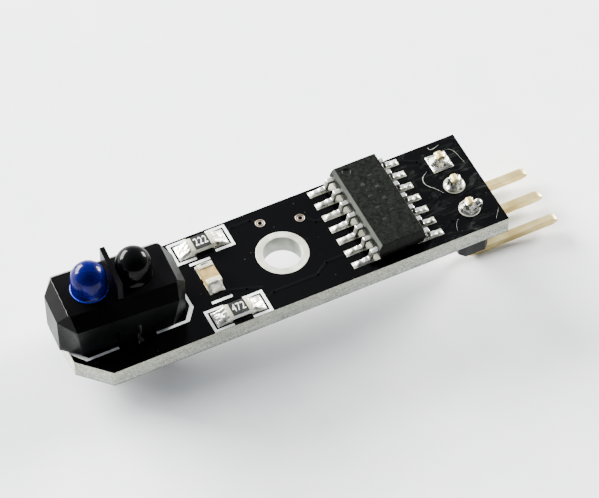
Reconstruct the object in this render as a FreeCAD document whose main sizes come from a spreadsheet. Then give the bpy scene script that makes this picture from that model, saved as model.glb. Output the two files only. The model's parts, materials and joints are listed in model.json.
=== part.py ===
import FreeCAD, Part
import os
import re

import Sketcher

# Line follower sensor module: a reflective infrared sensor, a comparator and a three-pin
# right-angle header on a narrow board.
#
# Frame, in millimetres: the origin is the fixing hole's axis at the board's underside,
# +X runs along the board to the header pins, +Y is to the back and +Z is up.

DIMENSIONS = [
    # Board
    ("board_length", "35.4", "board along X"),
    ("board_width", "9.3", "board along Y"),
    ("board_thickness", "1.6", "board with its two solder masks"),
    ("board_front_x", "-18.4", "board end under the sensor"),
    ("board_chamfer", "2.25", "corner cut beside the sensor"),
    ("mask_thickness", "0.04", "one solder mask"),
    ("print_thickness", "0.02", "printed legend"),
    ("print_line", "0.22", "width of a printed line"),
    ("pad_rise", "0.02", "copper above the mask"),
    ("plating_wall", "0.05", "copper in a plated hole"),
    ("fixing_wall", "0.18", "copper in the fixing hole"),
    ("solder_film", "0.02", "solder under a part"),
    # Fixing hole and vias
    ("fixing_bore", "3.0", "fixing hole"),
    ("fixing_ring", "4.1", "copper ring around the fixing hole"),
    ("via_bore", "0.42", "via hole"),
    ("via_ring", "0.72", "via ring"),
    ("via_left_x", "-0.29", "via nearer the sensor"),
    ("via_left_y", "3.32", "via nearer the sensor"),
    ("via_right_x", "2.69", "via nearer the comparator"),
    ("via_right_y", "2.44", "via nearer the comparator"),
    # Sensor
    ("sensor_x", "-13.83", "sensor centre"),
    ("sensor_yaw", "3.5", "sensor turned on the board, clockwise from above, in degrees"),
    ("sensor_length", "10.2", "housing along X"),
    ("sensor_width", "5.8", "housing along Y"),
    ("sensor_gap", "0.17", "board to housing"),
    ("sensor_height", "4.43", "housing foot to its top face"),
    ("sensor_end_half", "1.35", "half width of the flat end"),
    ("sensor_flank_half", "4.04", "half length of the flat side"),
    ("foot_half_length", "5.05", "half length of the foot, where the walls draw in"),
    ("foot_half_width", "2.5", "half width of the foot"),
    ("foot_flank_half", "3.6", "half length of the foot's flat side"),
    ("sensor_top_half_length", "4.32", "half length of the top face"),
    ("sensor_top_half_width", "2.0", "half width of the top face"),
    ("sensor_top_end_half", "1.85", "half width of the top face at its end"),
    ("sensor_bevel", "1.07", "height of the bevel around the top"),
    ("eye_pitch", "3.55", "emitter to detector"),
    ("eye_shift", "-0.2", "middle of the two lenses from the housing's middle"),
    ("eye_bore", "2.85", "housing bore around a lens"),
    ("lens_diameter", "2.75", "lens dome"),
    ("lens_shoulder", "1.15", "top face to the dome's centre"),
    ("socket_length", "3.2", "housing socket along X"),
    ("socket_width", "4.1", "housing socket along Y"),
    ("socket_height", "1.3", "housing socket depth"),
    ("foot_clearance", "0.05", "lens foot to socket wall"),
    ("barrier_thickness", "0.4", "wall between the lenses"),
    ("barrier_length", "3.8", "wall across the top face"),
    ("barrier_height", "1.75", "wall above the top face"),
    ("barrier_shift", "-0.17", "wall from the housing's middle"),
    ("clip_width", "1.4", "snap leg along X"),
    ("clip_thickness", "0.55", "snap leg along Y"),
    ("clip_step", "0.2", "snap leg past the foot"),
    ("clip_slit", "0.3", "slit beside a snap leg"),
    ("clip_slit_height", "1.6", "slit beside a snap leg"),
    ("clip_reach", "1.5", "snap leg below the board"),
    ("clip_barb", "0.4", "barb past the leg"),
    ("clip_hole_length", "1.9", "board slot along X"),
    ("clip_hole_width", "1.0", "board slot along Y"),
    # Sensor leads, chips and wires
    ("lead_pitch", "2.54", "sensor leads along Y"),
    ("lead_width", "0.5", "sensor lead along Y"),
    ("lead_depth", "0.4", "sensor lead along X"),
    ("lead_neck_half", "0.8", "half pitch inside the lens"),
    ("lead_bend_low", "2.35", "start of the inward bend"),
    ("lead_bend_high", "3.0", "end of the inward bend"),
    ("lead_shelf_top", "5.8", "shelf that holds the die"),
    ("lead_shelf_depth", "0.3", "shelf thickness"),
    ("lead_below", "2.1", "sensor lead below the board"),
    ("lead_hole", "1.0", "sensor lead hole"),
    ("lead_pad", "1.7", "sensor lead pad"),
    ("die_side", "0.36", "emitter and detector dies"),
    ("die_height", "0.15", "emitter and detector dies"),
    ("wire_diameter", "0.05", "bond wire"),
    # Comparator
    ("chip_x", "8.2", "comparator centre"),
    ("chip_y", "0.283", "comparator centre"),
    ("chip_length", "8.65", "body along Y"),
    ("chip_width", "3.9", "body along X"),
    ("chip_foot", "0.15", "lead foot to the body's underside"),
    ("chip_height", "1.45", "moulded body"),
    ("chip_waist", "0.7", "underside to the parting line"),
    ("chip_draft", "0.1", "taper of the moulded sides"),
    ("chip_end_draft", "0.16", "taper of the moulded ends"),
    ("chip_bevel", "0.3", "bevel on the pin 1 side"),
    ("chip_dimple", "0.65", "pin 1 dimple"),
    ("chip_dimple_depth", "0.06", "pin 1 dimple"),
    ("chip_pitch", "1.27", "comparator leads"),
    ("chip_lead_width", "0.42", "comparator lead"),
    ("chip_lead_sheet", "0.2", "comparator lead thickness"),
    ("chip_lead_root", "1.25", "start of a lead inside the body"),
    ("chip_lead_knee", "2.25", "top bend of a lead"),
    ("chip_lead_ankle", "2.45", "bottom bend of a lead"),
    ("chip_lead_tip", "3.0", "end of a lead"),
    ("chip_pad_width", "0.6", "comparator pad along Y"),
    ("chip_pad_length", "2.2", "comparator pad along X"),
    ("chip_pad_left", "-2.88", "centre of the pads on the pin 1 side"),
    ("chip_pad_right", "2.57", "centre of the pads on the other side"),
    ("paddle_length", "3.2", "die paddle along Y"),
    ("paddle_width", "2.0", "die paddle along X"),
    ("silicon_length", "1.6", "comparator die along Y"),
    ("silicon_width", "1.3", "comparator die along X"),
    ("silicon_height", "0.25", "comparator die"),
    # Resistors and capacitor
    ("resistor_length", "2.0", "resistor along X"),
    ("resistor_width", "1.25", "resistor along Y"),
    ("resistor_height", "0.5", "resistor"),
    ("resistor_cap", "0.35", "resistor end cap"),
    ("resistor_pad_reach", "2.05", "centre to the pad's outer end"),
    ("resistor_pad_width", "1.45", "resistor pad"),
    ("resistor_box_length", "4.85", "printed box"),
    ("resistor_box_width", "2.15", "printed box"),
    ("resistor_box_break", "1.6", "break in the printed box beside the resistor"),
    ("rear_resistor_x", "-5.25", "rear resistor centre"),
    ("rear_resistor_y", "3.4", "rear resistor centre"),
    ("front_resistor_x", "-5.38", "front resistor centre"),
    ("front_resistor_y", "-3.56", "front resistor centre"),
    ("capacitor_x", "-6.0", "capacitor centre"),
    ("capacitor_y", "0.22", "capacitor centre"),
    ("capacitor_length", "2.0", "capacitor along Y"),
    ("capacitor_width", "1.2", "capacitor along X"),
    ("capacitor_height", "0.75", "capacitor"),
    ("capacitor_cap", "0.45", "capacitor end cap"),
    ("capacitor_pad_reach", "1.46", "centre to the pad's outer end"),
    ("capacitor_pad_width", "1.25", "capacitor pad"),
    ("capacitor_bar_length", "1.7", "printed bar"),
    ("capacitor_bar_y", "2.0", "printed bar from the board's centre line"),
    ("cap_sheet", "0.05", "metal of an end cap"),
    ("chip_part_pad_length", "1.25", "pad of a resistor or capacitor"),
    # Printed outline of the sensor
    ("outline_x", "-13.3", "printed outline centre"),
    ("outline_length", "10.1", "printed outline along X"),
    ("outline_width", "5.6", "printed outline along Y"),
    ("outline_cut_x", "0.85", "corner of the printed outline"),
    ("outline_cut_y", "1.1", "corner of the printed outline"),
    ("outline_break", "3.1", "break beside a snap leg"),
    # Header
    ("header_x", "14.75", "pin axis"),
    ("header_y", "0.1", "middle pin"),
    ("header_pitch", "2.54", "pin to pin"),
    ("header_height", "2.54", "plastic block"),
    ("header_notch", "0.45", "cut between positions"),
    ("pin_side", "0.64", "square pin"),
    ("pin_top", "1.0", "pin above the board"),
    ("pin_run_z", "-3.85", "axis of the level run"),
    ("pin_reach", "7.75", "pin axis to the pin's tip"),
    ("pin_taper", "0.45", "length of a tapered end"),
    ("pin_bend", "0.3", "inside radius of the bend"),
    ("pin_hole", "1.0", "header hole"),
    ("pin_round_pad", "1.7", "round header pad"),
    ("pin_square_pad", "1.7", "square header pad"),
    ("joint_height", "0.7", "solder cone"),
]

UP = FreeCAD.Vector(0, 0, 1)
DOWN = FreeCAD.Vector(0, 0, -1)
QUARTER_TURN = FreeCAD.Rotation(UP, 90)
HALF_TURN = FreeCAD.Rotation(UP, 180)
# Turns X to Y, Y to Z and Z to X.
X_TO_Y = FreeCAD.Rotation(FreeCAD.Vector(1, 1, 1), 120)
BOARD_TOP = "(board_thickness)"
SEAT = "(board_thickness + pad_rise + solder_film)"
HOUSING_FOOT = "(board_thickness + sensor_gap)"
HOUSING_TOP = "(board_thickness + sensor_gap + sensor_height)"

doc = FreeCAD.newDocument("SensorModule")
sheet = doc.addObject("Spreadsheet::Sheet", "Dim")
nodes = []


def fill_sheet():
    for row, (alias, value, note) in enumerate(DIMENSIONS, start=1):
        sheet.set(f"A{row}", note)
        sheet.set(f"B{row}", value)
        sheet.setAlias(f"B{row}", alias)
    doc.recompute()


def cells(expression):
    """Point every dimension's name in an expression at its cell."""
    return re.sub(r"[a-z]+(_[a-z]+)+", r"Dim.\g<0>", expression)


def bind(item, prop, expression):
    item.setExpression(prop, cells(expression))


def value(expression):
    return float(sheet.evalExpression(cells(expression)))


def place(item, x="0", y="0", z="0", turn=None):
    if turn is not None:
        item.Placement = FreeCAD.Placement(FreeCAD.Vector(), turn)
    for axis, expression in zip("xyz", (x, y, z)):
        bind(item, f"Placement.Base.{axis}", expression)
    return item


def named(item, label):
    """Make an object one of the module's separate pieces."""
    item.Label = label
    nodes.append(item)
    return item


# ---- Part workbench shapes ----

def box(name, x, y, z, length, width, height):
    """A block centred on x and y that stands on z."""
    item = doc.addObject("Part::Box", name)
    bind(item, "Length", length)
    bind(item, "Width", width)
    bind(item, "Height", height)
    return place(item, f"{x} - ({length}) / 2", f"{y} - ({width}) / 2", z)


def cylinder(name, x, y, z, diameter, height):
    item = doc.addObject("Part::Cylinder", name)
    bind(item, "Radius", f"({diameter}) / 2")
    bind(item, "Height", height)
    return place(item, x, y, z)


def cone(name, x, y, z, low_diameter, high_diameter, height):
    item = doc.addObject("Part::Cone", name)
    bind(item, "Radius1", f"({low_diameter}) / 2")
    bind(item, "Radius2", f"({high_diameter}) / 2")
    bind(item, "Height", height)
    return place(item, x, y, z)


def wedge(name, x, y, z, reach, rise, width, turn):
    """A solder fillet: it is `rise` tall at x, y and thins out over `reach`."""
    item = doc.addObject("Part::Wedge", name)
    edge = "0.03"
    limits = {"Xmin": f"-({width}) / 2", "Xmax": f"({width}) / 2", "Ymin": "0", "Ymax": reach,
              "Zmin": "0", "Zmax": rise, "X2min": f"-({width}) / 2", "X2max": f"({width}) / 2",
              "Z2min": "0", "Z2max": edge}
    for prop, expression in limits.items():
        bind(item, prop, expression)
    return place(item, x, y, z, turn)


def joined(name, items):
    item = doc.addObject("Part::MultiFuse", name)
    item.Shapes = items
    return item


def less(name, base, tool):
    item = doc.addObject("Part::Cut", name)
    item.Base = base
    item.Tool = tool
    return item


# ---- PartDesign bodies ----

def new_body(name, turn=None, **at):
    body = doc.addObject("PartDesign::Body", name)
    body.AllowCompound = True
    place(body, turn=turn, **at)
    return body


def sketch_on(body, role, level="0"):
    plane = next(item for item in body.Origin.OriginFeatures if item.Role == role)
    sketch = body.newObject("Sketcher::SketchObject", f"{body.Name}_sketch")
    sketch.AttachmentSupport = [(plane, "")]
    sketch.MapMode = "FlatFace"
    bind(sketch, "AttachmentOffset.Base.z", level)
    return sketch


def fix_point(sketch, geometry, position, across, up):
    for kind, expression in (("DistanceX", across), ("DistanceY", up)):
        constraint = Sketcher.Constraint(kind, -1, 1, geometry, position, value(expression))
        index = sketch.addConstraint(constraint)
        bind(sketch, f"Constraints[{index}]", expression)


def polygon(sketch, corners):
    """A closed outline whose corners are pairs of expressions."""
    first = sketch.GeometryCount
    count = len(corners)
    spots = [FreeCAD.Vector(value(across), value(up), 0) for across, up in corners]
    for step in range(count):
        sketch.addGeometry(Part.LineSegment(spots[step], spots[(step + 1) % count]), False)
    for step in range(count):
        following = first + (step + 1) % count
        sketch.addConstraint(Sketcher.Constraint("Coincident", first + step, 2, following, 1))
        fix_point(sketch, first + step, 1, *corners[step])


def oblong(sketch, half, side, flat_half, flat_side):
    """An oblong with cut corners: its half sizes, then the halves of its straight runs."""
    corners = []
    for a, b, lengthwise in ((-1, -1, 0), (-1, -1, 1), (1, -1, 1), (1, -1, 0),
                             (1, 1, 0), (1, 1, 1), (-1, 1, 1), (-1, 1, 0)):
        if lengthwise:
            corners.append((f"{a} * {flat_half}", f"{b} * {side}"))
        else:
            corners.append((f"{a} * {half}", f"{b} * {flat_side}"))
    polygon(sketch, corners)


def rectangle(sketch, x, y, length, width):
    sides = [(f"{x} + {a} * ({length}) / 2", f"{y} + {b} * ({width}) / 2")
             for a, b in ((-1, -1), (1, -1), (1, 1), (-1, 1))]
    polygon(sketch, sides)


def circle(sketch, x, y, diameter):
    centre = FreeCAD.Vector(value(x), value(y), 0)
    index = sketch.addGeometry(Part.Circle(centre, UP, value(diameter) / 2), False)
    fix_point(sketch, index, 3, x, y)
    radius = sketch.addConstraint(Sketcher.Constraint("Radius", index, value(diameter) / 2))
    bind(sketch, f"Constraints[{radius}]", f"({diameter}) / 2")


def pad(body, sketch, length, side="One side"):
    feature = body.newObject("PartDesign::Pad", f"{body.Name}_pad")
    feature.Profile = sketch
    feature.SideType = side
    bind(feature, "Length", length)
    return feature


def cut_through(body, sketch):
    feature = body.newObject("PartDesign::Pocket", f"{body.Name}_cut")
    feature.Profile = sketch
    feature.Type = "ThroughAll"
    feature.SideType = "Symmetric"
    return feature


def cut_down(body, sketch, depth, reverse=False):
    feature = body.newObject("PartDesign::Pocket", f"{body.Name}_recess")
    feature.Profile = sketch
    feature.Reversed = reverse
    bind(feature, "Length", depth)
    return feature


# ---- Places that several pieces share ----

def header_places():
    """Pin number and y of each header pin, from the back."""
    return [(number, f"(header_y + {2 - number} * header_pitch)") for number in (1, 2, 3)]


def eye_x(side):
    return f"(eye_shift + {side} * eye_pitch / 2)"


def lead_places():
    """x and y of the four sensor leads."""
    return [(f"(sensor_x + {eye_x(a)})", f"({b} * lead_pitch / 2)")
            for a in (-1, 1) for b in (-1, 1)]


def comparator_places():
    """Pin number, side and y of each comparator lead: 1 to 7 from the back, then round."""
    left = [(number, -1, f"(chip_y + {4 - number} * chip_pitch)") for number in range(1, 8)]
    right = [(number, 1, f"(chip_y + {number - 11} * chip_pitch)") for number in range(8, 15)]
    return left + right


def comparator_pad_x(side):
    return "(chip_x + chip_pad_left)" if side < 0 else "(chip_x + chip_pad_right)"


def chip_pad_places():
    """x, y, length and width of the pads of the two resistors and the capacitor."""
    places = []
    offset = "(resistor_pad_reach - chip_part_pad_length / 2)"
    for prefix in ("rear_resistor", "front_resistor"):
        for side in (-1, 1):
            places.append((f"({prefix}_x + {side} * {offset})", f"{prefix}_y",
                           "chip_part_pad_length", "resistor_pad_width"))
    offset = "(capacitor_pad_reach - chip_part_pad_length / 2)"
    for side in (-1, 1):
        places.append(("capacitor_x", f"(capacitor_y + {side} * {offset})",
                       "capacitor_pad_width", "chip_part_pad_length"))
    return places


def clip_y(side):
    return f"({side} * (foot_half_width + clip_step - clip_thickness / 2))"


# ---- Board ----

def board_outline(sketch):
    """The board's plan: square corners at the header, cut corners at the sensor."""
    near = "board_front_x"
    far = "(board_front_x + board_length)"
    half = "board_width / 2"
    polygon(sketch, [(near, f"{half} - board_chamfer"), (near, f"board_chamfer - {half}"),
                     (f"{near} + board_chamfer", f"-{half}"), (far, f"-{half}"), (far, half),
                     (f"{near} + board_chamfer", half)])


def clip_slots(sketch):
    for side in (-1, 1):
        rectangle(sketch, "sensor_x", clip_y(side), "clip_hole_length", "clip_hole_width")


def round_openings(sketch, grow):
    """Holes at the fixing hole, vias, header and sensor: the drills, or the pads when grown."""
    wall = "2 * plating_wall"
    circle(sketch, "0", "0", "fixing_ring" if grow else "fixing_bore + 2 * fixing_wall")
    for side in ("left", "right"):
        circle(sketch, f"via_{side}_x", f"via_{side}_y", "via_ring" if grow else f"via_bore + {wall}")
    for number, y in header_places():
        if grow and number == 1:
            rectangle(sketch, "header_x", y, "pin_square_pad", "pin_square_pad")
        else:
            circle(sketch, "header_x", y, "pin_round_pad" if grow else f"pin_hole + {wall}")
    for x, y in lead_places():
        circle(sketch, x, y, "lead_pad" if grow else f"lead_hole + {wall}")
    clip_slots(sketch)


def build_board():
    core = new_body("board_core", z="mask_thickness")
    outline = sketch_on(core, "XY_Plane")
    board_outline(outline)
    pad(core, outline, "board_thickness - 2 * mask_thickness")
    drills = sketch_on(core, "XY_Plane")
    round_openings(drills, grow=False)
    cut_through(core, drills)
    named(core, "board_core")

    for label, z in (("solder_mask_top", "board_thickness - mask_thickness"),
                     ("solder_mask_bottom", "0")):
        mask = new_body(label, z=z)
        outline = sketch_on(mask, "XY_Plane")
        board_outline(outline)
        pad(mask, outline, "mask_thickness")
        openings = sketch_on(mask, "XY_Plane")
        round_openings(openings, grow=True)
        if label == "solder_mask_top":
            for number, side, y in comparator_places():
                rectangle(openings, comparator_pad_x(side), y, "chip_pad_length", "chip_pad_width")
            for place_and_size in chip_pad_places():
                rectangle(openings, *place_and_size)
        cut_through(mask, openings)
        named(mask, label)


def plated_hole(name, x, y, bore, ring, square=False, wall="plating_wall"):
    """Top and bottom rings joined by a barrel."""
    sheet_height = "mask_thickness + pad_rise"
    rings = []
    for level, z in (("top", "board_thickness - mask_thickness"), ("bottom", "-pad_rise")):
        if square:
            rings.append(box(f"{name}_{level}", x, y, z, ring, ring, sheet_height))
        else:
            rings.append(cylinder(f"{name}_{level}", x, y, z, ring, sheet_height))
    full = "board_thickness + 2 * pad_rise"
    barrel = cylinder(f"{name}_barrel", x, y, "-pad_rise", f"{bore} + 2 * {wall}", full)
    hole = cylinder(f"{name}_hole", x, y, "-pad_rise", bore, full)
    return less(f"{name}_plated", joined(f"{name}_copper", rings + [barrel]), hole)


def build_copper():
    named(plated_hole("fixing", "0", "0", "fixing_bore", "fixing_ring", wall="fixing_wall"),
          "hole_plating")
    vias = [plated_hole(f"via_{side}", f"via_{side}_x", f"via_{side}_y", "via_bore", "via_ring")
            for side in ("left", "right")]
    named(joined("via_pair", vias), "vias")
    pads = []
    for number, y in header_places():
        size = "pin_square_pad" if number == 1 else "pin_round_pad"
        pads.append(plated_hole(f"header_{number}", "header_x", y, "pin_hole", size, number == 1))
    named(joined("header_copper", pads), "header_pads")
    pads = [plated_hole(f"lead_{index}", x, y, "lead_hole", "lead_pad")
            for index, (x, y) in enumerate(lead_places())]
    named(joined("lead_copper", pads), "sensor_pads")

    bottom = "board_thickness - mask_thickness"
    height = "mask_thickness + pad_rise"
    pads = [box(f"comparator_pad_{number}", comparator_pad_x(side), y, bottom,
                "chip_pad_length", "chip_pad_width", height)
            for number, side, y in comparator_places()]
    named(joined("comparator_copper", pads), "comparator_pads")
    pads = [box(f"part_pad_{index}", x, y, bottom, length, width, height)
            for index, (x, y, length, width) in enumerate(chip_pad_places())]
    named(joined("part_copper", pads), "chip_pads")


def outline_ring(sketch, inset):
    """The sensor's printed outline, moved in by `inset`."""
    half = f"(outline_length / 2 - {inset})"
    side = f"(outline_width / 2 - {inset})"
    oblong(sketch, half, side, f"({half} - outline_cut_x)", f"({side} - outline_cut_y)")


def printed_bar(name, x, y, length, width):
    return box(name, x, y, BOARD_TOP, length, width, "print_thickness")


def printed_box(prefix):
    """Two brackets printed around a resistor, each made of three bars."""
    run = "(resistor_box_length - resistor_box_break) / 2"
    bars = []
    for a in (-1, 1):
        x = f"({prefix}_x + {a} * (resistor_box_length - print_line) / 2)"
        bars.append(printed_bar(f"{prefix}_short", x, f"{prefix}_y", "print_line", "resistor_box_width"))
        x = f"({prefix}_x + {a} * (resistor_box_length + resistor_box_break) / 4)"
        for b in (-1, 1):
            y = f"({prefix}_y + {b} * (resistor_box_width - print_line) / 2)"
            bars.append(printed_bar(f"{prefix}_long", x, y, run, "print_line"))
    return bars


def build_legend():
    ring = new_body("sensor_outline", x="outline_x", z=BOARD_TOP)
    loops = sketch_on(ring, "XY_Plane")
    outline_ring(loops, "0")
    outline_ring(loops, "print_line")
    pad(ring, loops, "print_thickness")
    gap = printed_bar("outline_gap", "outline_x", "0", "outline_break", "2 * outline_width")
    bars = [less("broken_outline", ring, gap)]
    for prefix in ("rear_resistor", "front_resistor"):
        bars += printed_box(prefix)
    for side in (-1, 1):
        bars.append(printed_bar("capacitor_bar", "capacitor_x", f"({side} * capacitor_bar_y)",
                                "capacitor_bar_length", "print_line"))
    named(joined("printed_lines", bars), "legend_top")


# ---- Reflective sensor ----

def turned(item, label):
    """A piece turned on the board with the rest of the sensor."""
    holder = doc.addObject("Part::Compound", f"{item.Name}_turned")
    holder.Links = [item]
    place(holder, "sensor_x * (1 - cos(sensor_yaw))", "sensor_x * sin(sensor_yaw)",
          turn=FreeCAD.Rotation(DOWN, 1))
    bind(holder, "Placement.Rotation.Angle", "sensor_yaw")
    return named(holder, label)


def housing_plan(sketch):
    oblong(sketch, "sensor_length / 2", "sensor_width / 2", "sensor_flank_half", "sensor_end_half")


def loft(body, low, high, role):
    feature = body.newObject("PartDesign::AdditiveLoft", f"{body.Name}_{role}")
    feature.Profile = low
    feature.Sections = [high]
    feature.Ruled = True


def housing_walls(body):
    """Walls that lean out from the foot, then slope in all round to the smaller top face."""
    waist = "sensor_height - sensor_bevel"
    foot = sketch_on(body, "XY_Plane")
    oblong(foot, "foot_half_length", "foot_half_width", "foot_flank_half", "sensor_end_half")
    high = sketch_on(body, "XY_Plane", waist)
    housing_plan(high)
    loft(body, foot, high, "walls")
    low = sketch_on(body, "XY_Plane", waist)
    housing_plan(low)
    corner = "(sensor_length / 2 - sensor_flank_half) / (sensor_width / 2 - sensor_end_half)"
    flat = f"(sensor_top_half_length - (sensor_top_half_width - sensor_top_end_half) * {corner})"
    top = sketch_on(body, "XY_Plane", "sensor_height")
    oblong(top, "sensor_top_half_length", "sensor_top_half_width", flat, "sensor_top_end_half")
    loft(body, low, top, "slope")


def snap_leg(body, side):
    """A springy leg through the board, with a barb under it."""
    outer = "(foot_half_width + clip_step)"
    inner = "(foot_half_width + clip_step - clip_thickness)"
    board_low = "(-sensor_gap - board_thickness)"
    sketch = sketch_on(body, "YZ_Plane")
    polygon(sketch, [(f"{side} * {inner}", "clip_slit_height"),
                     (f"{side} * {outer}", "clip_slit_height"),
                     (f"{side} * {outer}", f"{board_low} - 0.05"),
                     (f"{side} * ({outer} + clip_barb)", f"{board_low} - 0.15"),
                     (f"{side} * {outer}", f"{board_low} - clip_reach"),
                     (f"{side} * {inner}", f"{board_low} - clip_reach")])
    pad(body, sketch, "clip_width", "Symmetric")


def build_housing():
    body = new_body("housing", x="sensor_x", z=HOUSING_FOOT)
    housing_walls(body)
    bores = sketch_on(body, "XY_Plane")
    for side in (-1, 1):
        circle(bores, eye_x(side), "0", "eye_bore")
    cut_through(body, bores)
    sockets = sketch_on(body, "XY_Plane")
    for side in (-1, 1):
        rectangle(sockets, eye_x(side), "0", "socket_length", "socket_width")
    cut_down(body, sockets, "socket_height", reverse=True)
    slits = sketch_on(body, "XY_Plane")
    for side in (-1, 1):
        for a in (-1, 1):
            rectangle(slits, f"{a} * (clip_width + clip_slit) / 2", clip_y(side),
                      "clip_slit", "clip_thickness")
    cut_down(body, slits, "clip_slit_height", reverse=True)
    barrier = sketch_on(body, "XY_Plane", "sensor_height")
    rectangle(barrier, "barrier_shift", "0", "barrier_thickness", "barrier_length")
    pad(body, barrier, "barrier_height")
    for side in (-1, 1):
        snap_leg(body, side)
    turned(body, "sensor_housing")


def sensor_lead(label, x, shelf, turn=None):
    """A lead that bends inward under its lens. The one with a shelf carries the die."""
    body = new_body(f"{label}_bar", x=x, turn=turn)
    out = "(lead_pitch / 2 + lead_width / 2)"
    outer_in = "(lead_pitch / 2 - lead_width / 2)"
    neck_out = "(lead_neck_half + lead_width / 2)"
    neck_in = "(lead_neck_half - lead_width / 2)"
    top = "lead_shelf_top" if shelf else "(lead_shelf_top + die_height)"
    corners = [(outer_in, "-lead_below"), (out, "-lead_below"), (out, "lead_bend_low"),
               (neck_out, "lead_bend_high"), (neck_out, top)]
    if shelf:
        under = "lead_shelf_top - lead_shelf_depth"
        corners += [("-die_side", top), ("-die_side", under), (neck_in, under)]
    else:
        corners.append((neck_in, top))
    corners += [(neck_in, "lead_bend_high"), (outer_in, "lead_bend_low")]
    profile = sketch_on(body, "YZ_Plane")
    polygon(profile, corners)
    pad(body, profile, "lead_depth", "Symmetric")
    return turned(body, label), body


def build_eye(name, side, shelf_lead, post_lead):
    """A domed lens cast around two leads, a die and its bond wire."""
    x = f"(sensor_x + {eye_x(side)})"
    leads = [sensor_lead(shelf_lead, x, True), sensor_lead(post_lead, x, False, HALF_TURN)]
    die = box(f"{name}_die_block", x, "0", "lead_shelf_top", "die_side", "die_side", "die_height")
    turned(die, f"{name}_die")
    wire = doc.addObject("Part::Torus", f"{name}_wire_arc")
    bind(wire, "Radius1", "lead_neck_half / 2")
    bind(wire, "Radius2", "wire_diameter / 2")
    wire.Angle3 = 180
    place(wire, x, "-lead_neck_half / 2", "lead_shelf_top + die_height", X_TO_Y)
    turned(wire, f"{name}_bond_wire")

    foot_height = "socket_height - foot_clearance"
    foot = box(f"{name}_foot", x, "0", f"{HOUSING_FOOT} + foot_clearance",
               "socket_length - 2 * foot_clearance", "socket_width - 2 * foot_clearance", foot_height)
    shank = cylinder(f"{name}_shank", x, "0", f"{HOUSING_FOOT} + foot_clearance", "lens_diameter",
                     "sensor_height + lens_shoulder - foot_clearance")
    dome = doc.addObject("Part::Sphere", f"{name}_dome")
    bind(dome, "Radius", "lens_diameter / 2")
    place(dome, x, "0", f"{HOUSING_TOP} + lens_shoulder")
    solid = joined(f"{name}_casting", [foot, shank, dome])
    inserts = joined(f"{name}_inserts", [bar for _, bar in leads] + [die, wire])
    turned(less(f"{name}_cast", solid, inserts), f"{name}_lens")
    return [lead for lead, _ in leads]


def build_sensor():
    build_housing()
    leads = build_eye("emitter", -1, "emitter_cathode_lead", "emitter_anode_lead")
    leads += build_eye("detector", 1, "detector_collector_lead", "detector_emitter_lead")
    cones = [cone(f"lead_joint_{index}", x, y, "-joint_height - pad_rise", "0.9 * lead_hole",
                  "lead_pad - 0.1", "joint_height")
             for index, (x, y) in enumerate(lead_places())]
    named(less("lead_joints", joined("lead_cones", cones), joined("all_leads", leads)),
          "sensor_solder")


# ---- Comparator ----

def comparator_lead(number, side, y):
    """A gull-wing lead: out of the body, down, and flat on its pad."""
    label = f"comparator_lead_{number:02d}"
    body = new_body(label, x="chip_x", y=y, z=SEAT, turn=HALF_TURN if side < 0 else None)
    low = "(chip_foot + chip_waist - chip_lead_sheet / 2)"
    high = "(chip_foot + chip_waist + chip_lead_sheet / 2)"
    profile = sketch_on(body, "XZ_Plane")
    polygon(profile, [("chip_lead_root", low), ("chip_lead_knee", low),
                      ("chip_lead_ankle", "0"), ("chip_lead_tip", "0"),
                      ("chip_lead_tip", "chip_lead_sheet"),
                      ("chip_lead_ankle + chip_lead_sheet * 0.9", "chip_lead_sheet"),
                      ("chip_lead_knee + chip_lead_sheet * 0.9", high),
                      ("chip_lead_root", high)])
    pad(body, profile, "chip_lead_width", "Symmetric")
    return named(body, label)


def build_comparator():
    leads = [comparator_lead(*spot) for spot in comparator_places()]
    base = f"{SEAT} + chip_foot"
    paddle = named(box("paddle_plate", "chip_x", "chip_y",
                       f"{base} + chip_waist - chip_lead_sheet / 2",
                       "paddle_width", "paddle_length", "chip_lead_sheet"), "comparator_paddle")
    silicon = named(box("silicon_block", "chip_x", "chip_y",
                        f"{base} + chip_waist + chip_lead_sheet / 2",
                        "silicon_width", "silicon_length", "silicon_height"), "comparator_die")

    body = new_body("moulding", x="chip_x", y="chip_y", z=base)
    half = "chip_width / 2"
    profile = sketch_on(body, "XZ_Plane")
    polygon(profile, [(f"chip_draft - {half}", "0"), (f"{half} - chip_draft", "0"),
                      (half, "chip_waist"), (f"{half} - chip_draft", "chip_height"),
                      (f"chip_bevel - {half}", "chip_height"),
                      (f"chip_draft - {half}", "chip_height - chip_bevel"),
                      (f"-{half}", "chip_waist")])
    pad(body, profile, "chip_length", "Symmetric")
    ends = sketch_on(body, "YZ_Plane")
    tip = "chip_length / 2"
    for side in (-1, 1):
        for edge in ("0", "chip_height"):
            polygon(ends, [(f"{side} * {tip}", "chip_waist"), (f"{side} * {tip}", edge),
                           (f"{side} * ({tip} - chip_end_draft)", edge)])
    cut_through(body, ends)
    dimple = sketch_on(body, "XY_Plane", "chip_height")
    circle(dimple, "1.05 - chip_width / 2", "chip_length / 2 - 0.85", "chip_dimple")
    cut_down(body, dimple, "chip_dimple_depth")
    named(less("moulded", body, joined("lead_frame", leads + [paddle, silicon])), "comparator_body")

    solder = []
    for number, side, y in comparator_places():
        tip = f"(chip_x + {side} * chip_lead_tip)"
        turn = QUARTER_TURN if side < 0 else QUARTER_TURN.inverted()
        solder.append(box(f"film_{number}", comparator_pad_x(side), y, "board_thickness + pad_rise",
                          "chip_pad_length - 0.1", "chip_pad_width - 0.06", "solder_film"))
        solder.append(wedge(f"toe_{number}", tip, y, "board_thickness + pad_rise", "0.3", "0.2",
                            "chip_lead_width", turn))
    named(joined("comparator_joints", solder), "comparator_solder")


# ---- Resistors and capacitor ----

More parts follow.
